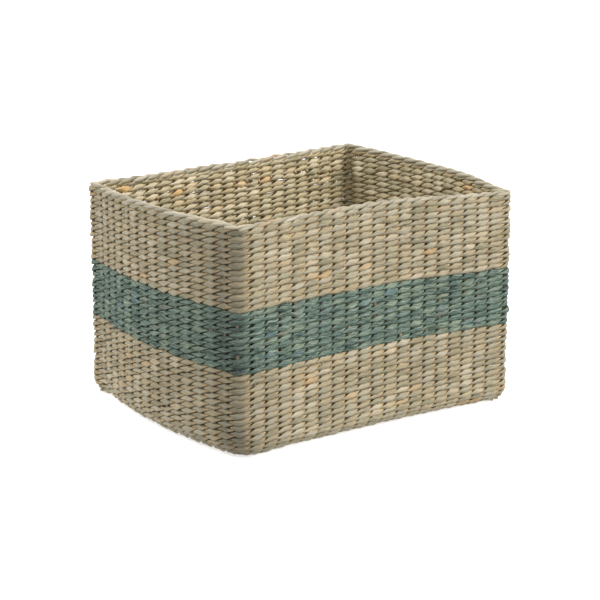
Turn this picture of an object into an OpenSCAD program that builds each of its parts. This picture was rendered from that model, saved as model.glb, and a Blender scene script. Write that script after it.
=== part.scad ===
// Hand-twined rectangular storage basket. Two layers of stakes cross in the base and turn
// up the walls, where twined courses bind them: a natural band, a dyed band and another
// natural band. A border of folded stake ends closes the rim. The origin is the centre of
// the footprint, on the surface that the basket stands on.

/* [Basket] */
// Overall length, across the bow of both end walls
basket_length = 380; // [320:5:460]
// Overall depth, from the front face to the back face
basket_depth = 292; // [240:4:360]
// Overall height, to the top of the border
basket_height = 240; // [200:5:300]
// Radius of the upright corners, in plan
corner_radius = 22; // [21:0.5:27]
// Distance that each end wall bows outwards between its corners
end_wall_bow = 13; // [6:1:18]
// Outside radius of the turn from wall to base
turn_radius = 20; // [18:0.5:20.5]

/* [Twining] */
// Thickness of a twined wall
wall_thickness = 8; // [7:0.5:9]
// Thickness of the base, over its two crossing layers of stakes
base_thickness = 12.2; // [12.2:0.2:15]
// Height of one twined course
course_height = 6.3; // [5:0.1:8]
// Depth of the groove between two courses
groove_depth = 1; // [0.6:0.1:1.2]
// Courses round the turn
turn_courses = 5; // [4:1:6]

/* [Dyed band] */
// Height of its lower edge
dyed_band_start = 90; // [60:5:120]
// Height of the band itself
dyed_band_height = 63; // [40:1:76]

/* [Stakes] */
// Diameter of a stake
stake_diameter = 3.6; // [3:0.1:4.4]
// Clearance all round a stake in its channel
stake_clearance = 0.1; // [0.05:0.05:0.15]
// Cross stakes, which run from front to back
cross_stakes = 19; // [15:2:21]
// Long stakes, which run from end to end on top of the cross stakes
long_stakes = 14; // [10:2:14]
// Distance from an upright corner's centre to the first cross stake
cross_stake_margin = 2.5; // [2.5:0.5:4]
// Distance from an upright corner's centre to the first long stake
long_stake_margin = 2.5; // [2.5:0.5:4]
// Height of the cross stakes' centres in the base
cross_stake_level = 4; // [3.6:0.1:4]
// Gap between the two layers of stakes in the base
layer_gap = 0.6; // [0.4:0.1:0.8]
// Height of the corner stakes' lower ends
corner_stake_level = 4.6; // [4.4:0.1:5]
// Bend radius of the long and corner stakes
tight_bend_radius = 14; // [13:0.5:14]

/* [Border] */
// Height of the border
border_height = 6; // [5:0.5:8]
// Diameter of each of its two strands
border_strand = 4.8; // [4:0.1:4.8]
// Distance that a stake reaches up into the border
border_socket = 2.4; // [1:0.2:3]

/* [Hidden] */
$fn = 96;
HALF_TURN = [0, 180];
half_wall = wall_thickness / 2;
half_depth = basket_depth / 2;
corner_y = half_depth - corner_radius;
corner_x = basket_length / 2 - end_wall_bow - corner_radius;
end_wall_step = 0.3;
end_wall_sagitta = end_wall_bow + end_wall_step;
end_wall_radius = to_hundredth(pow(corner_y, 2) / (2 * end_wall_sagitta) + end_wall_sagitta / 2);
end_centre_x = basket_length / 2 - end_wall_radius;
floor_end_radius = end_wall_radius - corner_radius;
end_wall_sweep = 60;
fine_facets = 720;
dyed_band_top = dyed_band_start + dyed_band_height;
border_start = basket_height - border_height;
stake_top = border_start + border_socket;
long_stake_level = cross_stake_level + stake_diameter + layer_gap;
corner_stake_angle = 45;
cavity_radius = turn_radius - base_thickness;
inner_face = wall_thickness - 0.1;
turn_bump_radius = 4.5;
turn_backing_radius = turn_radius - 1.2 * groove_depth;
base_groove_radius = 2;
end_cut = 1;

NATURAL = "#b5a486";
DYED = "#6f8f86";
STAKE = "#c6b184";
BORDER = "#c0af8d";

function two_digits(n) = str(n < 10 ? "0" : "", n);
function to_hundredth(x) = round(100 * x) / 100;
function spread(i, count, half_span) =
    to_hundredth(-half_span + 2 * half_span * (i - 1) / (count - 1));
function cross_stake_x(i) = spread(i, cross_stakes, corner_x - cross_stake_margin);
function long_stake_y(i) = spread(i, long_stakes, corner_y - long_stake_margin);
function end_wall_middle(y) =
    to_hundredth(end_centre_x + sqrt(pow(end_wall_radius - half_wall, 2) - pow(y, 2)));
function course_count(height) = round(height / course_height);
function bump_radius(pitch) = pow(pitch, 2) / (8 * groove_depth) + groove_depth / 2;

CROSS_STAKE_NAMES = [for (i = [1 : cross_stakes]) str("cross_stake_", two_digits(i))];
LONG_STAKE_NAMES = [for (i = [1 : long_stakes]) str("long_stake_", two_digits(i))];
CORNER_STAKE_NAMES = ["corner_stake_front_left", "corner_stake_front_right",
                      "corner_stake_back_left", "corner_stake_back_right"];
WEAVE_NAMES = ["base_weave", "lower_natural_weave", "dyed_weave", "upper_natural_weave",
               "rim_border"];

// Sweeps a profile round the basket. The profile's x is measured outwards from the outer
// face, so the wall lies at negative x, and its y is the height.
module round_the_basket() {
    for (turn = HALF_TURN) rotate([0, 0, turn]) {
        translate([-corner_x, half_depth, 0])
            rotate([90, 0, 90])
                linear_extrude(2 * corner_x)
                    children();
        intersection() {
            translate([end_centre_x, 0, 0])
                rotate([0, 0, -end_wall_sweep / 2])
                    rotate_extrude(angle = end_wall_sweep, $fn = fine_facets)
                        translate([end_wall_radius, 0])
                            children();
            translate([0, -corner_y, -end_cut])
                cube([basket_length, 2 * corner_y, basket_height + 2 * end_cut]);
        }
    }
    for (side = [0, 1], end = [0, 1])
        mirror([end, 0, 0])
            mirror([0, side, 0])
                translate([corner_x, corner_y, 0])
                    rotate_extrude(angle = 90)
                        translate([corner_radius, 0])
                            children();
}

// A stack of rounded courses that fills a height exactly
module course_profile(bottom, top) {
    count = course_count(top - bottom);
    pitch = (top - bottom) / count;
    bump = bump_radius(pitch);
    intersection() {
        translate([-wall_thickness, bottom]) square([wall_thickness, top - bottom]);
        for (i = [0 : count - 1])
            intersection() {
                translate([-bump, bottom + (i + 0.5) * pitch]) circle(bump);
                translate([bump - wall_thickness, bottom + (i + 0.5) * pitch]) circle(bump);
            }
    }
}

// The courses that turn from the wall into the base, with the edge of the base itself
module turn_profile() {
    difference() {
        union() {
            translate([-corner_radius, 0]) square([corner_radius - turn_radius, turn_radius]);
            intersection() {
                translate([-turn_radius, 0]) square(turn_radius);
                translate([-turn_radius, turn_radius]) {
                    circle(turn_backing_radius);
                    for (i = [1 : turn_courses])
                        rotate(-90 * (i - 0.5) / turn_courses)
                            translate([turn_radius - turn_bump_radius, 0])
                                circle(turn_bump_radius);
                }
            }
        }
        translate([-corner_radius - end_cut, base_thickness])
            square([corner_radius + end_cut - inner_face - cavity_radius, cavity_radius + end_cut]);
        translate([-inner_face - cavity_radius, turn_radius]) circle(cavity_radius);
    }
}

// A stake in the XZ plane: flat along the base, a bend at each end and two upright legs
module u_shaped_stake(half_span, level, bend, top, diameter) {
    translate([bend - half_span, 0, level])
        rotate([0, 90, 0])
            cylinder(h = 2 * (half_span - bend), d = diameter);
    for (turn = HALF_TURN) rotate([0, 0, turn])
        bent_leg(half_span, level, bend, top, diameter);
}

// The bend and the upright leg on the +X side of a stake
module bent_leg(reach, level, bend, top, diameter) {
    translate([reach - bend, 0, level + bend])
        rotate([90, 0, 0])
            rotate([0, 0, -90])
                rotate_extrude(angle = 90)
                    translate([bend, 0])
                        circle(d = diameter);
    translate([reach, 0, level + bend])
        cylinder(h = top - level - bend, d = diameter);
}

module cross_stake(i, top = stake_top, diameter = stake_diameter) {
    color(STAKE)
        translate([cross_stake_x(i), 0, 0])
            rotate([0, 0, 90])
                u_shaped_stake(half_depth - half_wall, cross_stake_level,
                               turn_radius - cross_stake_level, top, diameter);
}

module long_stake(i, top = stake_top, diameter = stake_diameter) {
    color(STAKE)
        translate([0, long_stake_y(i), 0])
            u_shaped_stake(end_wall_middle(long_stake_y(i)), long_stake_level,
                           tight_bend_radius, top, diameter);
}

module corner_stake(end, side, top = stake_top, diameter = stake_diameter) {
    color(STAKE)
        mirror([end, 0, 0])
            mirror([0, side, 0])
                translate([corner_x, corner_y, 0])
                    rotate([0, 0, corner_stake_angle])
                        bent_leg(corner_radius - half_wall, corner_stake_level,
                                 tight_bend_radius, top, diameter);
}

// The channels that the stakes leave in the weave
module stake_channels(top) {
    bore = stake_diameter + 2 * stake_clearance;
    for (i = [1 : cross_stakes]) cross_stake(i, top, bore);
    for (i = [1 : long_stakes]) long_stake(i, top, bore);
    for (end = [0, 1], side = [0, 1]) corner_stake(end, side, top, bore);
}

// The same channels where the walls are upright
module upright_channels(bottom, top) {
    bore = stake_diameter + 2 * stake_clearance;
    for (side = HALF_TURN) rotate([0, 0, side]) {
        for (i = [1 : cross_stakes])
            translate([cross_stake_x(i), half_depth - half_wall, bottom])
                cylinder(h = top - bottom, d = bore);
        for (i = [1 : long_stakes])
            translate([end_wall_middle(long_stake_y(i)), long_stake_y(i), bottom])
                cylinder(h = top - bottom, d = bore);
    }
    for (end = [0, 1], side = [0, 1])
        mirror([end, 0, 0])
            mirror([0, side, 0])
                translate([corner_x, corner_y, bottom])
                    rotate([0, 0, corner_stake_angle])
                        translate([corner_radius - half_wall, 0, 0])
                            cylinder(h = top - bottom, d = bore);
}

// The woven floor, inside the turn, with a groove between each two rows on top
module base_weave() {
    rows = course_count(2 * corner_y);
    pitch = 2 * corner_y / rows;
    color(NATURAL)
        difference() {
            linear_extrude(base_thickness)
                intersection() {
                    translate([-basket_length / 2, -corner_y]) square([basket_length, 2 * corner_y]);
                    translate([end_centre_x, 0]) circle(floor_end_radius, $fn = fine_facets);
                    translate([-end_centre_x, 0]) circle(floor_end_radius, $fn = fine_facets);
                }
            for (i = [1 : rows - 1])
                translate([-basket_length / 2, i * pitch - corner_y,
                           base_thickness + base_groove_radius - groove_depth])
                    rotate([0, 90, 0])
                        cylinder(h = basket_length, r = base_groove_radius);
            stake_channels(base_thickness + tight_bend_radius);
        }
}

// The natural band that starts in the turn and climbs to the dyed band
module lower_natural_weave() {
    color(NATURAL)
        difference() {
            round_the_basket() {
                union() {
                    turn_profile();
                    course_profile(turn_radius, dyed_band_start);
                    translate([-inner_face, turn_radius])
                        square([inner_face - half_wall, course_height / 2]);
                }
            }
            stake_channels(dyed_band_start + end_cut);
        }
}

module dyed_weave() {
    color(DYED)
        difference() {
            round_the_basket() course_profile(dyed_band_start, dyed_band_top);
            upright_channels(dyed_band_start - end_cut, dyed_band_top + end_cut);
        }
}

module upper_natural_weave() {
    color(NATURAL)
        difference() {
            round_the_basket() course_profile(dyed_band_top, border_start);
            upright_channels(dyed_band_top - end_cut, border_start + end_cut);
        }
}

// Two strands side by side on the crest, over the sockets that hold the stakes' ends
module border_profile() {
    strand_offset = half_wall - border_strand / 2;
    strand_centre = basket_height - border_strand / 2;
    for (side = [-1, 1])
        translate([side * strand_offset - half_wall, strand_centre]) circle(d = border_strand);
    translate([-half_wall - 2 * strand_offset, border_start])
        square([4 * strand_offset, strand_centre - border_start]);
}

module rim_border() {
    color(BORDER)
        difference() {
            round_the_basket() border_profile();
            upright_channels(border_start - end_cut, stake_top + stake_clearance);
        }
}

base_weave();
lower_natural_weave();
dyed_weave();
upper_natural_weave();
rim_border();
corner_stake(1, 1);  // corner_stake_front_left
corner_stake(0, 1);  // corner_stake_front_right
corner_stake(1, 0);  // corner_stake_back_left
corner_stake(0, 0);  // corner_stake_back_right
for (i = [1 : cross_stakes])
    cross_stake(i);
for (i = [1 : long_stakes])
    long_stake(i);
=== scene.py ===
"""The looks of a rectangular storage basket, twined by hand from seagrass cord.

Two weft strands twist round the upright stakes, course after course: five courses round the
turn from the base, then a natural band, a dyed band and another natural band. The stakes' own
ends are folded along the crest and tucked down inside.

A place on the wall is given by its station u, which counts stakes round the basket from the
front left corner, and its course v, which counts upwards from the base.
"""

import math
import random

import bmesh
import bpy
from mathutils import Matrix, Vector, noise


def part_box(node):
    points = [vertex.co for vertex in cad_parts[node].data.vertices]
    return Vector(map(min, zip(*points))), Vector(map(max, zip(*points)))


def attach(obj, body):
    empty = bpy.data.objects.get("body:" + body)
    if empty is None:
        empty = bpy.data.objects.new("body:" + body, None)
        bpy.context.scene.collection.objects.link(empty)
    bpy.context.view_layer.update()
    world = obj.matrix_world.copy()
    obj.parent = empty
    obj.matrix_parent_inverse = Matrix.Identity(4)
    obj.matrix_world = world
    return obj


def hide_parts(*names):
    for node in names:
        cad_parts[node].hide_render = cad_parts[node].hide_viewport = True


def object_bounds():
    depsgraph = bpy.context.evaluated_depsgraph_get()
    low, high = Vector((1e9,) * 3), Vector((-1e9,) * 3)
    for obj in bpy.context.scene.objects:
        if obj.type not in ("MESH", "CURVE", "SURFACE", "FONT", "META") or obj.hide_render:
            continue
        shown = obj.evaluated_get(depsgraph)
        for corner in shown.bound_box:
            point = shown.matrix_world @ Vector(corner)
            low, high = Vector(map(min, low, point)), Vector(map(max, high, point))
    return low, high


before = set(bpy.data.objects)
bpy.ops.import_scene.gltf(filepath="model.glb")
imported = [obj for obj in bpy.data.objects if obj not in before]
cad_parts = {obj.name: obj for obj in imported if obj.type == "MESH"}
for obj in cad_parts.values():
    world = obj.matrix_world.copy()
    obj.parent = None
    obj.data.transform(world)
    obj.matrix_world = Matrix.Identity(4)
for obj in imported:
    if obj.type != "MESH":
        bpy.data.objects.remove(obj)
cad_low, cad_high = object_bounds()

MM = 0.001
HALF_TURN = math.pi

# Vector noise takes its offsets from the clock unless it is given a seed
noise.seed_set(7)

# Courses
TURN_COURSES = 5
LOWER_COURSES = 11
DYED_COURSES = 10
UPPER_COURSES = 13
ALL_COURSES = TURN_COURSES + LOWER_COURSES + DYED_COURSES + UPPER_COURSES
CLIMB_STAKES = 3
LAST_CLIMB = 0.45
UNDER_CREST = 1.5 * MM

# The base: its rows end CORNER_END from the middle at the corners and FLOOR_INSET inside the
# walls between them, and they rise over each long stake
FLOOR_ROWS = 40
FLOOR_LEVEL = 5.0 * MM
FLOOR_INSET = 2.5 * MM
CORNER_END = 157 * MM
RISE_OVER_STAKE = 2.3 * MM
RISE_REACH = 5 * MM
RISE_SLOPE = 3 * MM
FLOOR_STRAND_SIDES = 8

# The turn from wall to base
TURN_RADIUS = 20 * MM
WALL_DEPTH = 4 * MM
TURN_MIDDLE = TURN_RADIUS - WALL_DEPTH

# A weft strand: half its thickness and width, and how it twists round the stakes
STRAND_THICKNESS = 1.75 * MM
STRAND_WIDTH = 3.4 * MM
STRAND_SIDES = 10
SAMPLES_PER_STAKE = 8
OUT_AND_IN = 2.5 * MM
RISE = 1.85 * MM
PINCH = 0.92
OVERLAP_LEAD = 0.12
CROSSING = 1.3
FIBRE_TWIST = 1 / (25 * MM)
LATE_SWELL = 0.05

# How much one stitch differs from the next, and how far the courses wander
NATURAL_CRUMPLE = 1.35
DYED_CRUMPLE = 1.7
WIDTH_SPREAD = 0.1
STAND_SPREAD = 0.35 * MM
LIFT_SPREAD = 0.4 * MM
WAVER_OUT = 0.7 * MM
WAVER_UP = 0.5 * MM
EVEN_SLIP = 0.45 * MM
BACK_SLIP = 2.0 * MM

# Stakes and border
STAKE_SIDES = 8
STAKE_LAY = (0.6, 0.0, 0.0)
BEND_STEPS = 6
LEG_STEPS = 12
LONG_BEND = 14 * MM
TUCKED_END = 6 * MM
INTO_CREST = 1 * MM
BORDER_SIDES = 10
BORDER_RADIUS = 1.75 * MM

# Hand-made unevenness: the front and right walls bow off the even outline, the corners are
# drawn outwards, and the rim lifts by some mm at each of the stations given with it
FRONT_BOW = -6 * MM
RIGHT_BOW = 4 * MM
CORNER_DRAW = 6.5 * MM
RIM_LIFTS = ((0, 0.9), (10, 3.4), (20, -4.0), (27.5, 0.0), (35, 5.3), (45, 1.0), (55, -1.8),
             (62.5, 0.0), (70, 0.9))


# ---------------------------------------------------------------- places, taken from the frame

def names_of(kind):
    return sorted(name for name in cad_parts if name.startswith(kind))


cross_names = names_of("cross_stake_")
long_names = names_of("long_stake_")
first_cross_low, first_cross_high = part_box(cross_names[0])
stake_radius = (first_cross_high.x - first_cross_low.x) / 2
long_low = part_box(long_names[len(long_names) // 2])[0]
corner_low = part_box("corner_stake_front_left")[0]
dyed_low, dyed_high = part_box("dyed_weave")
rim_low, rim_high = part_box("rim_border")
cross_level = first_cross_low.z + stake_radius
long_level = long_low.z + stake_radius
corner_level = corner_low.z + stake_radius


def leg_centre(name, side_x, side_y):
    """Centre of a stake's upright leg; a side is -1, 0 or 1 towards the leg."""
    low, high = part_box(name)
    middle = (low + high) / 2
    reach = (high - low) / 2
    x = middle.x + side_x * (reach.x - stake_radius)
    y = middle.y + side_y * (reach.y - stake_radius)
    return Vector((x, y))


def stations():
    """The leg centres in order round the basket, from the front left corner."""
    row = [leg_centre("corner_stake_front_left", -1, -1)]
    row += [leg_centre(name, 0, -1) for name in cross_names]
    row += [leg_centre("corner_stake_front_right", 1, -1)]
    row += [leg_centre(name, 1, 0) for name in long_names]
    row += [leg_centre("corner_stake_back_right", 1, 1)]
    row += [leg_centre(name, 0, 1) for name in reversed(cross_names)]
    row += [leg_centre("corner_stake_back_left", -1, 1)]
    row += [leg_centre(name, -1, 0) for name in reversed(long_names)]
    return row


even_places = stations()
STATIONS = len(even_places)
CROSS = len(cross_names)
LONG = len(long_names)
FRONT_RIGHT = CROSS + 1
BACK_RIGHT = FRONT_RIGHT + LONG + 1
BACK_LEFT = BACK_RIGHT + CROSS + 1


def add_bow(places, first, last, outwards, bow):
    for k in range(first, last + 1):
        along = (k - first) / (last - first)
        places[k] = places[k] + outwards * (bow * 4 * along * (1 - along))


wall_places = [place.copy() for place in even_places]
add_bow(wall_places, 0, FRONT_RIGHT, Vector((0, -1)), FRONT_BOW)
add_bow(wall_places, FRONT_RIGHT, BACK_RIGHT, Vector((1, 0)), RIGHT_BOW)
corner_shift = [Vector((0, 0)) for place in wall_places]
for station in (0, FRONT_RIGHT, BACK_RIGHT, BACK_LEFT):
    place = wall_places[station]
    diagonal = Vector((math.copysign(1, place.x), math.copysign(1, place.y)))
    corner_shift[station] = diagonal.normalized() * CORNER_DRAW


def spline_point(places, u):
    """Point and direction of a closed smooth line through the places, at station u."""
    k = math.floor(u)
    t = u - k
    a, b, c, d = (places[(k + step) % STATIONS] for step in (-1, 0, 1, 2))
    point = 0.5 * (2 * b + (c - a) * t + (2 * a - 5 * b + 4 * c - d) * t ** 2
                   + (3 * b - a - 3 * c + d) * t ** 3)
    way = 0.5 * ((c - a) + 2 * (2 * a - 5 * b + 4 * c - d) * t
                 + 3 * (3 * b - a - 3 * c + d) * t ** 2)
    return point, way


def smooth(t):
    t = min(max(t, 0.0), 1.0)
    return t * t * (3 - 2 * t)


def rim_lift(u):
    """How far the rim stands above or below its even height, at station u."""
    u = u % STATIONS
    for (u0, lift0), (u1, lift1) in zip(RIM_LIFTS, RIM_LIFTS[1:]):
        if u <= u1:
            return (lift0 + (lift1 - lift0) * smooth((u - u0) / (u1 - u0))) * MM
    return RIM_LIFTS[-1][1] * MM


def base_sharpness(u):
    """How square each corner is at the base; the front left one is the most rubbed down."""
    corners = ((0, -0.9), (FRONT_RIGHT, 1.2), (BACK_RIGHT, 0.5), (BACK_LEFT, 1.3))
    sharpness = 0.5
    for corner, value in corners:
        apart = abs((u - corner + STATIONS / 2) % STATIONS - STATIONS / 2)
        sharpness += (value - 0.5) * smooth(1 - apart / 3)
    return sharpness


def wall_point(u, depth, height):
    """A point of the wall, a depth inwards from the stakes' line, and the way outwards."""
    share = min(max(height / rim_high.z, 0.0), 1.0)
    point, way = spline_point(wall_places, u)
    shift, shift_way = spline_point(corner_shift, u)
    sharp = base_sharpness(u)
    sharp += (1 - sharp) * smooth(5 * share)
    point = point + shift * sharp
    way = (way + shift_way * sharp).normalized()
    out = Vector((way.y, -way.x))
    place = point - out * depth
    return Vector((place.x, place.y, height + rim_lift(u) * share)), Vector((out.x, out.y, 0))


def course_height(v):
    """Height of course v on the upright wall, counted from the base."""
    v = v - TURN_COURSES
    if v < LOWER_COURSES:
        return TURN_RADIUS + (dyed_low.z - TURN_RADIUS) * v / LOWER_COURSES
    v = v - LOWER_COURSES
    if v < DYED_COURSES:
        return dyed_low.z + (dyed_high.z - dyed_low.z) * v / DYED_COURSES
    v = v - DYED_COURSES
    return dyed_high.z + (rim_low.z + UNDER_CREST - dyed_high.z) * v / UPPER_COURSES


def course_point(u, v):
    """A point on the middle of course v at station u, with the ways outwards and up."""
    v = max(v, 0.0)
    if v < TURN_COURSES:
        lean = (1 - v / TURN_COURSES) * math.pi / 2
        depth = TURN_MIDDLE * (1 - math.cos(lean))
        height = TURN_RADIUS - TURN_MIDDLE * math.sin(lean)
    else:
        lean = 0.0
        depth = 0.0
        height = course_height(v)
    place, level = wall_point(u, depth, height)
    up = Vector((0, 0, 1))
    out = level * math.cos(lean) - up * math.sin(lean)
    rise = level * math.sin(lean) + up * math.cos(lean)
    return place, out, rise, lean


# ---------------------------------------------------------------- swept cords

def cord_section(name, thickness, width, sides):
    """A closed curve to sweep: its x is the cord's thickness and its y is the cord's width."""
    curve = bpy.data.curves.new(name, "CURVE")
    curve.dimensions = "2D"
    spline = curve.splines.new("POLY")
    spline.points.add(sides - 1)
    for k, point in enumerate(spline.points):
        angle = -2 * math.pi * k / sides
        point.co = (thickness * math.cos(angle), width * math.sin(angle), 0, 1)
    spline.use_cyclic_u = True
    section = bpy.data.objects.new(name, curve)
    bpy.context.scene.collection.objects.link(section)
    return section


def sweep(name, cords, thickness, width, sides, twist_mode):
    """One mesh from cords, each a list of (place, roll, swell, tint, lay) along its length.

    The lay of a point says how far out it lies, how far up its stitch, and how much painted shade
    darkens it.
    """
    section = cord_section(name + "_section", thickness, width, sides)
    curve = bpy.data.curves.new(name + "_path", "CURVE")
    curve.dimensions = "3D"
    curve.twist_mode = twist_mode
    curve.bevel_mode = "OBJECT"
    curve.bevel_object = section
    for cord in cords:
        spline = curve.splines.new("POLY")
        spline.points.add(len(cord) - 1)
        flat = [value for row in cord for value in (*row[0], 1.0)]
        spline.points.foreach_set("co", flat)
        spline.points.foreach_set("tilt", [row[1] for row in cord])
        spline.points.foreach_set("radius", [row[2] for row in cord])
    path = bpy.data.objects.new(name + "_path", curve)
    bpy.context.scene.collection.objects.link(path)
    bpy.context.view_layer.update()
    shown = path.evaluated_get(bpy.context.evaluated_depsgraph_get())
    mesh = bpy.data.meshes.new_from_object(shown)
    mesh.name = name
    mark_cords(mesh, cords, sides)
    close_ends(mesh, sides)
    mesh.polygons.foreach_set("use_smooth", [True] * len(mesh.polygons))
    for leftover in (path, section):
        bpy.data.objects.remove(leftover)
    piece = bpy.data.objects.new(name, mesh)
    bpy.context.scene.collection.objects.link(piece)
    return piece


def mark_cords(mesh, cords, sides):
    """Stores where each point lies along and round its cord, and its tint and lay."""
    fibre, tint, lay = [], [], []
    around = [-2 * math.pi * k / sides for k in range(sides)]
    for number, cord in enumerate(cords):
        length = number * 0.37
        before = cord[0][0]
        for place, roll, swell, shade, point_lay in cord:
            length += (place - before).length
            before = place
            for angle in around:
                turned = angle - roll + length * FIBRE_TWIST
                fibre += (length / MM, math.cos(turned), math.sin(turned))
            tint += [shade] * sides
            lay += point_lay * sides
    for key, kind, field, values in (("fibre", "FLOAT_VECTOR", "vector", fibre),
                                     ("tint", "FLOAT", "value", tint),
                                     ("lay", "FLOAT_VECTOR", "vector", lay)):
        attribute = mesh.attributes.new(key, kind, "POINT")
        attribute.data.foreach_set(field, values)


def close_ends(mesh, sides):
    shape = bmesh.new()
    shape.from_mesh(mesh)
    open_edges = [edge for edge in shape.edges if edge.is_boundary]
    bmesh.ops.holes_fill(shape, edges=open_edges, sides=sides)
    bmesh.ops.recalc_face_normals(shape, faces=shape.faces)
    shape.to_mesh(mesh)
    shape.free()


# ---------------------------------------------------------------- the weft

def corner_tint_painted_shade(u):
    """Painted shade: how much darker a tint the stitches are given round the front left corner."""
    return 0.4 * smooth((u % STATIONS - 65) / 4) + 0.4 * smooth((1.6 - u % STATIONS) / 1.4)


def corner_painted_shade(u, v):
    """Painted shade: how much darker the front left corner is made, with the low front beside it
    and the left wall near it.
    """
    u = u % STATIONS
    if u < STATIONS / 2:
        low_front = 0.2 * smooth((6 - u) / 5) * smooth((18 - v) / 4)
        return low_front + (0.42 - low_front) * smooth((0.75 - u) / 0.6)
    return 0.12 * smooth((u - 60) / 6) + 0.3 * smooth((u - 67.6) / 1.5)


def inner_ridge(v):
    """How much further into the basket the stitches of course v stand than the rest."""
    below_border = ALL_COURSES - v
    return (1.3 * smooth(1.2 - abs(below_border - 3.5)) - 0.5 * smooth(3 - below_border)) * MM


def stitch_draws(seed, count):
    """Uneven width, set-out, height and colour for each half turn of a strand."""
    draw = random.Random(seed)
    return [(draw.gauss(0, 1), draw.gauss(0, 1), draw.gauss(0, 1), draw.random())
            for stitch in range(count)]


def twined(phase, draws, crumple):
    """Offset outwards and upwards, swell, tint and lay of a strand at a phase of its twist."""
    out = math.cos(phase)
    rise = math.sin(phase)
    side = 1 if out > 0 else -1
    middle = out * out
    width, stand, lift, shade = draws
    swell = PINCH + (1 - PINCH) * abs(out) + LATE_SWELL * rise * side
    swell *= 1 + WIDTH_SPREAD * crumple * width * middle
    bulge = math.tanh(CROSSING * math.cos(phase - OVERLAP_LEAD)) / math.tanh(CROSSING)
    outwards = OUT_AND_IN * bulge + STAND_SPREAD * crumple * stand * middle * side
    upwards = RISE * rise + LIFT_SPREAD * crumple * lift * middle
    return outwards, upwards, swell, shade, (out, rise)


def twist_roll(phase):
    """A strand turns on itself as it twists, so it stands on edge where two strands cross."""
    return -phase


def course_gap(u, v):
    """How far course v has slipped from its even height; the back wall is the loosest."""
    at_back = smooth((u % STATIONS - BACK_RIGHT) / 2) * smooth((BACK_LEFT - u % STATIONS) / 2)
    high_up = smooth((v - TURN_COURSES) / LOWER_COURSES)
    slip = EVEN_SLIP + BACK_SLIP * at_back * high_up
    return slip * noise.noise(Vector((u * 0.4, v * 1.9, 4.2)))


def half_height(roll, swell):
    """How far a strand reaches below its own middle."""
    return swell * math.hypot(STRAND_THICKNESS * math.sin(roll), STRAND_WIDTH * math.cos(roll))


def wall_weft(name, first_course, courses, strand, seed, crumple):
    """A strand that climbs the wall by one course in each round, behind the back left corner."""
    last_band = first_course + courses == ALL_COURSES
    stakes_passed = courses * STATIONS + (CLIMB_STAKES if last_band else 0)
    steps = stakes_passed * SAMPLES_PER_STAKE
    draws = stitch_draws(seed, courses * STATIONS + CLIMB_STAKES + 2)
    cord = []
    for step in range(steps + 1):
        passed = step / SAMPLES_PER_STAKE - CLIMB_STAKES
        u = BACK_LEFT + passed
        climb = (passed % STATIONS - STATIONS + CLIMB_STAKES) / CLIMB_STAKES
        v = first_course + passed // STATIONS + 0.5 + smooth(climb)
        v = min(v, ALL_COURSES - 0.5 + LAST_CLIMB)
        place, out, up, lean = course_point(u, v)
        phase = HALF_TURN * (u + strand)
        stitch = draws[math.floor(passed + CLIMB_STAKES + 0.5)]
        outwards, upwards, swell, shade, lay = twined(phase, stitch, crumple)
        # Painted shade: stitches round the front left corner take darker tints
        shade *= 1 - corner_tint_painted_shade(u)
        if lay[0] < 0:
            outwards -= inner_ridge(v) * lay[0] ** 2
        waver = noise.noise_vector(Vector((u * 0.21, v * 0.33, first_course)))
        upwards += WAVER_UP * waver.y + course_gap(u, v)
        place = place + out * (outwards + WAVER_OUT * waver.x) + up * upwards
        ends = min(step, steps - step) / SAMPLES_PER_STAKE
        roll = lean + twist_roll(phase)
        swell *= min(1.0, 0.3 + ends)
        place.z = max(place.z, half_height(roll, swell))
        # The lay's third value carries the painted shade round the front left corner
        cord.append((place, roll, swell, shade, (*lay, corner_painted_shade(u, v))))
    return sweep(name, [cord], STRAND_THICKNESS, STRAND_WIDTH, STRAND_SIDES, "Z_UP")


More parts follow.
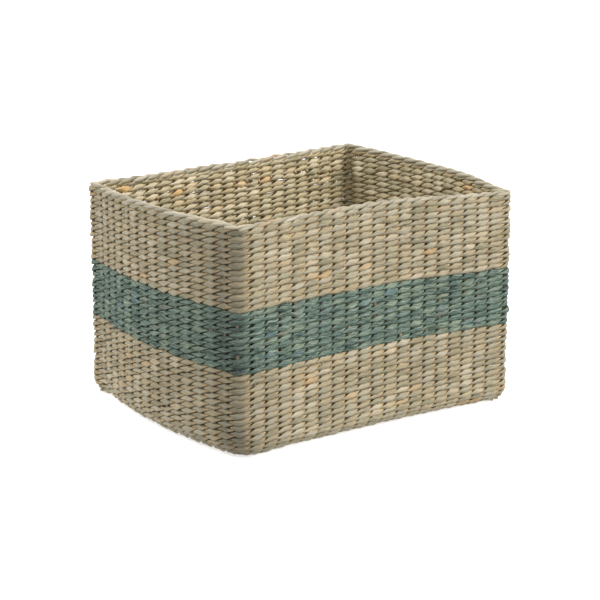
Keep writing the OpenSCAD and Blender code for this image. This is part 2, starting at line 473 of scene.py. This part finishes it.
def floor_weft(name, strand, seed):
    """A strand twined back and forth over the base, round the cross stakes."""
    half_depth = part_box("base_weave")[1].y
    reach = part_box("base_weave")[1].x
    pitch = 2 * half_depth / FLOOR_ROWS
    cross_x = [leg_centre(each, 0, -1).x for each in cross_names]
    long_y = [leg_centre(each, 1, 0).y for each in long_names]
    across = CROSS + 1
    steps = FLOOR_ROWS * across * SAMPLES_PER_STAKE
    draws = stitch_draws(seed, FLOOR_ROWS * across + 2)
    cord = []
    for step in range(steps + 1):
        passed = step / SAMPLES_PER_STAKE
        row_number = min(int(passed // across), FLOOR_ROWS - 1)
        along = passed - row_number * across
        y = -half_depth + pitch * (row_number + 0.5)
        bowed = 1 - (y / half_depth) ** 2
        end_x = CORNER_END + (reach - FLOOR_INSET - CORNER_END) * bowed
        turning = max(0.0, 0.5 - min(along, across - along)) * 2
        towards = -1 if along < across / 2 else 1
        k = min(max(along, 0.5), across - 0.5)
        low = min(max(int(k), 1), CROSS - 1)
        x = cross_x[low - 1] + (cross_x[low] - cross_x[low - 1]) * (k - low)
        beyond = max(0.0, abs(k - across / 2) - (CROSS - 1) / 2) * 2
        last = cross_x[-1] if x > 0 else cross_x[0]
        if beyond > 0:
            x = last + (math.copysign(end_x, x) - last) * beyond
        bend = turning * math.pi / 2
        x += towards * pitch / 2 * math.sin(bend)
        y += towards * pitch / 2 * (1 - math.cos(bend))
        if row_number % 2:
            x = -x
        if x > 0:
            x *= 1 + RIGHT_BOW * bowed / end_x
        y += -FRONT_BOW * (1 - (x / reach) ** 2) * (half_depth - y) / (2 * half_depth)
        phase = HALF_TURN * (passed + strand)
        stitch = draws[math.floor(passed + 0.5)]
        outwards, upwards, swell, shade, lay = twined(phase, stitch, 1)
        near = min(abs(y - each) for each in long_y)
        raised = RISE_OVER_STAKE * smooth((RISE_REACH - near) / RISE_SLOPE)
        height = FLOOR_LEVEL + (outwards + raised if outwards > 0 else outwards)
        roll = math.pi / 2 + twist_roll(phase)
        place = Vector((x, y + upwards, max(height, half_height(roll, swell))))
        cord.append((place, roll, swell, shade, (*lay, 0.0)))
    return sweep(name, [cord], STRAND_THICKNESS, STRAND_WIDTH, FLOOR_STRAND_SIDES, "Z_UP")


# ---------------------------------------------------------------- stakes and border

def leg(station, level, bend):
    """Points of a stake from its bend up to the border, as it stands in the finished wall."""
    points = []
    for k in range(BEND_STEPS + 1):
        angle = k / BEND_STEPS * math.pi / 2
        depth = bend * (1 - math.sin(angle))
        height = level + bend * (1 - math.cos(angle))
        points.append(wall_point(station, depth, height)[0])
    top = rim_low.z + INTO_CREST
    rise = top - level - bend
    for k in range(1, LEG_STEPS + 1):
        points.append(wall_point(station, 0, level + bend + rise * k / LEG_STEPS)[0])
    return points


def stake_piece(name, stations_used, level, bend, seed):
    """A stake from leg to leg under the base, or one leg tucked into it."""
    shade = random.Random(seed).random()
    points = list(reversed(leg(stations_used[0], level, bend)))
    if len(stations_used) == 2:
        points += leg(stations_used[1], level, bend)
    else:
        points.append(wall_point(stations_used[0], bend + TUCKED_END, level)[0])
    cord = [(place, 0.0, 1.0, shade, STAKE_LAY) for place in points]
    piece = sweep(name, [cord], stake_radius, stake_radius, STAKE_SIDES, "MINIMUM")
    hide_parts(name.replace("_cord", ""))
    return piece


# A folded end: stations passed, set-out from the stakes' line, height above the border's foot
FOLD = ((0.0, 0.0, -7.0), (0.05, 0.6, -2.5), (0.15, 1.4, 0.6), (0.3, 2.0, 2.0), (0.6, 2.3, 2.9),
        (0.9, 2.3, 3.6), (1.08, 1.5, 4.1), (1.2, 0.2, 4.2), (1.35, -1.2, 3.7), (1.55, -2.2, 3.1),
        (1.8, -2.8, 2.4), (2.05, -2.8, 1.6), (2.2, -2.1, 0.6), (2.32, -0.9, -2.0),
        (2.4, 0.0, -6.5), (2.46, -0.4, -13.5), (2.5, -2.0, -17.5), (2.54, -4.8, -19.8))


def smooth_line(rows, pieces_between):
    """More rows on a smooth line through the given rows."""
    result = []
    last = len(rows) - 1
    for k in range(last):
        a, b, c, d = (rows[min(max(k + step, 0), last)] for step in (-1, 0, 1, 2))
        for j in range(pieces_between):
            t = j / pieces_between
            result.append(tuple(
                0.5 * (2 * q + (r - p) * t + (2 * p - 5 * q + 4 * r - s) * t ** 2
                       + (3 * q - p - 3 * r + s) * t ** 3)
                for p, q, r, s in zip(a, b, c, d)))
    result.append(rows[last])
    return result


def border_piece():
    """The stakes' ends, each folded along the crest and tucked down inside."""
    draw = random.Random(71)
    fold = smooth_line(FOLD, 3)
    cords = []
    for station in range(STATIONS):
        shade = draw.random()
        fat = 1 + 0.08 * draw.gauss(0, 1)
        lift = 0.35 * draw.gauss(0, 1)
        stub = 2.5 * draw.gauss(0, 1)
        cord = []
        for k, (passed, outwards, height) in enumerate(fold):
            share = k / (len(fold) - 1)
            u = station + passed
            reach = (height + lift * smooth(3 * share) + stub * smooth(6 * share - 5)) * MM
            place, out = wall_point(u, -outwards * MM, rim_low.z + reach)
            inner_side = smooth(1 - abs(passed - 1.8) / 0.5)
            swell = fat * (1 + 0.3 * inner_side) * (1 - 0.25 * smooth(6 * share - 4.6))
            end = smooth((share - 0.9) / 0.1)
            cord.append((place, 0.0, swell, shade, (1.0, end, 0.0)))
        cords.append(cord)
    return sweep("rim_border_folds", cords, BORDER_RADIUS, BORDER_RADIUS, BORDER_SIDES, "MINIMUM")


# ---------------------------------------------------------------- materials

def node_of(tree, kind, **settings):
    node = tree.nodes.new(kind)
    for key, value in settings.items():
        setattr(node, key, value)
    return node


def ramp_of(tree, source, stops):
    ramp = node_of(tree, "ShaderNodeValToRGB")
    elements = ramp.color_ramp.elements
    while len(elements) < len(stops):
        elements.new(0.5)
    for element, (position, colour) in zip(elements, stops):
        element.position = position
        element.color = (*colour, 1)
    tree.links.new(source, ramp.inputs["Fac"])
    return ramp.outputs["Color"]


def grey_ramp(tree, source, stops):
    return ramp_of(tree, source, [(position, (value,) * 3) for position, value in stops])


def mix_of(tree, blend, factor, first, second):
    mix = node_of(tree, "ShaderNodeMix", data_type="RGBA", blend_type=blend)
    for socket, value in ((mix.inputs[0], factor), (mix.inputs[6], first), (mix.inputs[7], second)):
        if isinstance(value, bpy.types.NodeSocket):
            tree.links.new(value, socket)
        elif isinstance(value, (int, float)):
            socket.default_value = value
        else:
            socket.default_value = (*value, 1)
    return mix.outputs[2]


def noise_of(tree, vector, scales, detail, roughness=0.6):
    mapping = node_of(tree, "ShaderNodeMapping")
    mapping.inputs["Scale"].default_value = scales
    tree.links.new(vector, mapping.inputs["Vector"])
    texture = node_of(tree, "ShaderNodeTexNoise")
    texture.inputs["Scale"].default_value = 1.0
    texture.inputs["Detail"].default_value = detail
    texture.inputs["Roughness"].default_value = roughness
    tree.links.new(mapping.outputs["Vector"], texture.inputs["Vector"])
    return texture.outputs["Fac"]


def attribute_of(tree, name):
    return node_of(tree, "ShaderNodeAttribute", attribute_type="GEOMETRY", attribute_name=name)


# Painted light and shade: inner stitches are brightened, outer ones darkened. Each shade is
# multiplied by one of these, from inner stitches to outer ones
PAINTED_LIGHT_INSIDE_SHADE_OUTSIDE = ((0.0, (1.16, 1.13, 1.09)), (0.05, (0.83, 0.82, 0.82)))


def seagrass(name, shades, tips, tip_strength, streaks, roughness, pale, pale_strength):
    """Twisted seagrass: each stitch has its own shade, with fibres that run along the cord."""
    material = bpy.data.materials.new(name)
    material.use_nodes = True
    tree = material.node_tree
    shader = tree.nodes["Principled BSDF"]
    fibre = attribute_of(tree, "fibre").outputs["Vector"]
    tint = attribute_of(tree, "tint").outputs["Fac"]
    lay = node_of(tree, "ShaderNodeSeparateXYZ")
    tree.links.new(attribute_of(tree, "lay").outputs["Vector"], lay.inputs["Vector"])
    place = node_of(tree, "ShaderNodeTexCoord").outputs["Object"]

    colour = ramp_of(tree, tint, shades)
    patches = noise_of(tree, place, (22, 22, 22), 3)
    colour = mix_of(tree, "MULTIPLY", 1.0, colour,
                    grey_ramp(tree, patches, ((0.3, 0.88), (0.7, 1.1))))
    blades = noise_of(tree, fibre, (0.07, 2.2, 2.2), 4)
    blade_stops = ((0.3, 1 - streaks), (0.52, 1.0), (0.72, 1 + streaks * 0.5))
    colour = mix_of(tree, "MULTIPLY", 1.0, colour, grey_ramp(tree, blades, blade_stops))
    hairs = noise_of(tree, fibre, (0.16, 7, 7), 5, 0.75)
    colour = mix_of(tree, "MULTIPLY", 0.8, colour,
                    grey_ramp(tree, hairs, ((0.3, 1 - streaks), (0.6, 1.08))))
    threads = noise_of(tree, fibre, (0.09, 3.2, 3.2), 3)
    pale_mask = grey_ramp(tree, threads, ((0.5, 0.0), (0.66, pale_strength)))
    colour = mix_of(tree, "MIX", pale_mask, colour, pale)
    # Painted light inside and painted shade outside, by how far out each point lies
    inside = ramp_of(tree, lay.outputs["X"], PAINTED_LIGHT_INSIDE_SHADE_OUTSIDE)
    colour = mix_of(tree, "MULTIPLY", 1.0, colour, inside)
    # Painted shade: the lay's third value darkens the front left corner and the low front
    painted_shade_factor = grey_ramp(tree, lay.outputs["Z"], ((0.0, 1.0), (0.6, 0.4)))
    colour = mix_of(tree, "MULTIPLY", 1.0, colour, painted_shade_factor)
    warm = grey_ramp(tree, lay.outputs["Y"], ((0.7, 0.0), (1.0, tip_strength)))
    colour = mix_of(tree, "MIX", warm, colour, tips)
    tree.links.new(colour, shader.inputs["Base Color"])

    rough = node_of(tree, "ShaderNodeMapRange")
    rough.inputs["To Min"].default_value = roughness - 0.12
    rough.inputs["To Max"].default_value = roughness + 0.15
    tree.links.new(hairs, rough.inputs["Value"])
    tree.links.new(rough.outputs["Result"], shader.inputs["Roughness"])
    shader.inputs["Specular IOR Level"].default_value = 0.3

    relief = mix_of(tree, "MIX", 0.45, blades, hairs)
    bump = node_of(tree, "ShaderNodeBump")
    bump.inputs["Strength"].default_value = 0.6
    bump.inputs["Distance"].default_value = 0.5 * MM
    tree.links.new(relief, bump.inputs["Height"])
    tree.links.new(bump.outputs["Normal"], shader.inputs["Normal"])
    return material


natural = seagrass(
    "natural_seagrass_twist",
    ((0.0, (0.35, 0.32, 0.2)), (0.15, (0.46, 0.385, 0.23)), (0.35, (0.465, 0.425, 0.29)),
     (0.55, (0.545, 0.445, 0.26)), (0.75, (0.54, 0.49, 0.345)), (0.93, (0.68, 0.595, 0.42)),
     (0.965, (0.62, 0.5, 0.31)), (1.0, (0.68, 0.45, 0.2))),
    (0.48, 0.31, 0.13), 0.36, 0.3, 0.55, (0.76, 0.7, 0.55), 0.5)
dyed = seagrass(
    "dyed_seagrass_twist",
    ((0.0, (0.055, 0.11, 0.095)), (0.25, (0.115, 0.195, 0.16)), (0.55, (0.175, 0.265, 0.215)),
     (0.82, (0.28, 0.36, 0.255)), (0.92, (0.14, 0.25, 0.255)), (1.0, (0.25, 0.27, 0.19))),
    (0.2, 0.25, 0.17), 0.3, 0.8, 0.62, (0.48, 0.57, 0.44), 0.8)
stake_finish = seagrass(
    "stake_seagrass_twist",
    ((0.0, (0.3, 0.24, 0.15)), (0.5, (0.38, 0.31, 0.2)), (1.0, (0.45, 0.38, 0.26))),
    (0.4, 0.26, 0.12), 0.3, 0.24, 0.6, (0.6, 0.52, 0.38), 0.2)
border_finish = seagrass(
    "border_seagrass_twist",
    ((0.0, (0.43, 0.38, 0.26)), (0.35, (0.53, 0.48, 0.35)), (0.85, (0.66, 0.6, 0.46)),
     (1.0, (0.57, 0.44, 0.27))),
    (0.42, 0.24, 0.09), 0.85, 0.2, 0.58, (0.75, 0.7, 0.57), 0.3)


def finish_piece(piece, material, slot, *nodes):
    piece.data.materials.clear()
    piece.data.materials.append(material)
    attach(piece, "root")
    if nodes:
        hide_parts(*nodes)


# ---------------------------------------------------------------- the pieces

strand_names = ("a", "b")
for strand, letter in enumerate(strand_names):
    finish_piece(floor_weft("base_weft_" + letter, strand, 11 + strand),
                 natural, "natural_seagrass", "base_weave")
    finish_piece(wall_weft("lower_weft_" + letter, 0, TURN_COURSES + LOWER_COURSES, strand,
                           21 + strand, NATURAL_CRUMPLE),
                 natural, "natural_seagrass", "lower_natural_weave")
    finish_piece(wall_weft("dyed_weft_" + letter, TURN_COURSES + LOWER_COURSES, DYED_COURSES,
                           strand, 31 + strand, DYED_CRUMPLE),
                 dyed, "dyed_seagrass", "dyed_weave")
    finish_piece(wall_weft("upper_weft_" + letter, TURN_COURSES + LOWER_COURSES + DYED_COURSES,
                           UPPER_COURSES, strand, 41 + strand, NATURAL_CRUMPLE),
                 natural, "natural_seagrass", "upper_natural_weave")

for k, name in enumerate(cross_names):
    finish_piece(stake_piece(name + "_cord", (1 + k, BACK_LEFT - 1 - k), cross_level,
                             TURN_RADIUS - cross_level, 100 + k),
                 stake_finish, "stake_seagrass")
for k, name in enumerate(long_names):
    finish_piece(stake_piece(name + "_cord", (FRONT_RIGHT + 1 + k, STATIONS - 1 - k), long_level,
                             LONG_BEND, 200 + k),
                 stake_finish, "stake_seagrass")
for k, (name, station) in enumerate((("corner_stake_front_left", 0),
                                     ("corner_stake_front_right", FRONT_RIGHT),
                                     ("corner_stake_back_right", BACK_RIGHT),
                                     ("corner_stake_back_left", BACK_LEFT))):
    finish_piece(stake_piece(name + "_cord", (station,), corner_level, LONG_BEND, 300 + k),
                 stake_finish, "stake_seagrass")

finish_piece(border_piece(), border_finish, "border_seagrass", "rim_border")


# ---------------------------------------------------------------- floor, light and camera

def plain_finish(name, colour, roughness):
    material = bpy.data.materials.new(name)
    material.use_nodes = True
    shader = material.node_tree.nodes["Principled BSDF"]
    shader.inputs["Base Color"].default_value = (*colour, 1)
    shader.inputs["Roughness"].default_value = roughness
    return material


FLOOR_REACH = 14
FLOOR_GLOW = 0.6
UNDER_BASKET = 0.2 * MM


def studio_floor():
    """A pale sheet of paper that glows a little, so no hard shadow lies on it."""
    shape = bmesh.new()
    bmesh.ops.create_grid(shape, x_segments=1, y_segments=1, size=FLOOR_REACH)
    mesh = bpy.data.meshes.new("studio_floor")
    shape.to_mesh(mesh)
    shape.free()
    floor = bpy.data.objects.new("studio_floor", mesh)
    bpy.context.scene.collection.objects.link(floor)
    floor.location.z = cad_low.z - UNDER_BASKET
    paper = plain_finish("pale_floor", (0.8, 0.8, 0.8), 0.9)
    shader = paper.node_tree.nodes["Principled BSDF"]
    shader.inputs["Emission Color"].default_value = (1, 1, 1, 1)
    shader.inputs["Emission Strength"].default_value = FLOOR_GLOW
    mesh.materials.append(paper)
    floor.visible_diffuse = False


def soft_light(name, azimuth, elevation, spread, strength, colour):
    light = bpy.data.lights.new(name, "SUN")
    light.angle = math.radians(spread)
    light.energy = strength
    light.color = colour
    lamp = bpy.data.objects.new(name, light)
    bpy.context.scene.collection.objects.link(lamp)
    lamp.rotation_euler = way_back(azimuth, elevation).to_track_quat("Z", "Y").to_euler()


def way_back(azimuth, elevation):
    a = math.radians(azimuth)
    e = math.radians(elevation)
    return Vector((math.sin(a) * math.cos(e), -math.cos(a) * math.cos(e), math.sin(e)))


def studio_world(room, backdrop):
    """An even room light, with a brighter backdrop behind the object."""
    world = bpy.data.worlds.new("studio")
    world.use_nodes = True
    tree = world.node_tree
    light = tree.nodes["Background"]
    light.inputs["Color"].default_value = (0.97, 0.985, 1, 1)
    light.inputs["Strength"].default_value = room
    behind = node_of(tree, "ShaderNodeBackground")
    behind.inputs["Strength"].default_value = backdrop
    behind.inputs["Color"].default_value = (1, 1, 1, 1)
    rays = node_of(tree, "ShaderNodeLightPath")
    mix = node_of(tree, "ShaderNodeMixShader")
    tree.links.new(rays.outputs["Is Camera Ray"], mix.inputs[0])
    tree.links.new(light.outputs[0], mix.inputs[1])
    tree.links.new(behind.outputs[0], mix.inputs[2])
    tree.links.new(mix.outputs[0], tree.nodes["World Output"].inputs["Surface"])
    return world


studio_floor()
soft_light("key_light", 28, 44, 34, 2.35, (1.0, 0.98, 0.95))
soft_light("side_light", -118, 46, 24, 1.3, (0.99, 0.995, 1.0))

scene = bpy.context.scene
scene.world = studio_world(0.67, 1.0)
scene.view_settings.view_transform = "Standard"

CAMERA_AZIMUTH = -35.2
CAMERA_ELEVATION = 14.6
CAMERA_DISTANCE = 1.978
LOOKED_AT = Vector((0, 0, 0.12))
camera_data = bpy.data.cameras.new("camera")
camera_data.lens = 108.9
camera_data.sensor_width = 36
camera_data.shift_x = 0.0023
camera_data.shift_y = -0.015
camera = bpy.data.objects.new("camera", camera_data)
scene.collection.objects.link(camera)
camera_back = way_back(CAMERA_AZIMUTH, CAMERA_ELEVATION)
camera.location = LOOKED_AT + camera_back * CAMERA_DISTANCE
camera.rotation_euler = camera_back.to_track_quat("Z", "Y").to_euler()
scene.camera = camera
